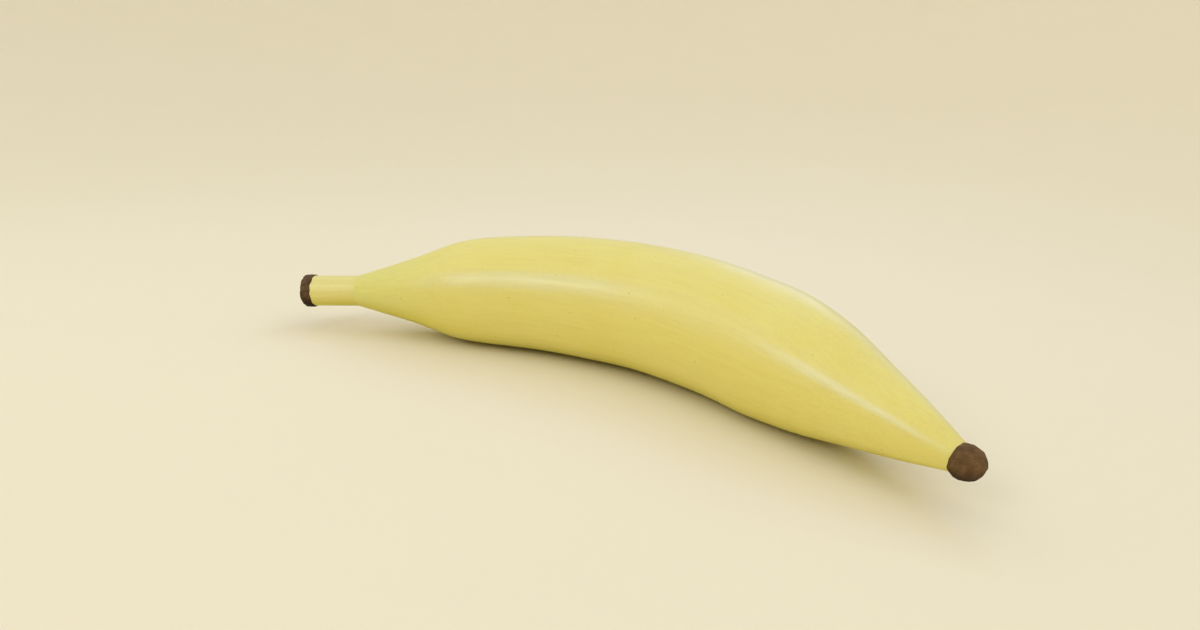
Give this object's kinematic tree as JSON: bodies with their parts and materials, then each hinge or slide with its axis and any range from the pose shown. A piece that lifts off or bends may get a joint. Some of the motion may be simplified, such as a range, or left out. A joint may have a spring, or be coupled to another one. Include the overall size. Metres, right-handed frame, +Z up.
{
  "type": "banana",
  "caption": "Ripe banana lying on its side: round stem with a dark cut end, widening neck, bent ridged fruit and a round dried blossom tip.",
  "frame": {"origin": "on the resting surface, under the centre of the bounding box", "axes": "+Z up, +X from the cut end of the stem to the dried tip, +Y to the outside of the bend"},
  "size_m": [0.1892, 0.0576, 0.0357],
  "materials": {
    "peel": "satin"
  },
  "bodies": {
    "root": {"banana": "peel"}
  },
  "joints": []
}
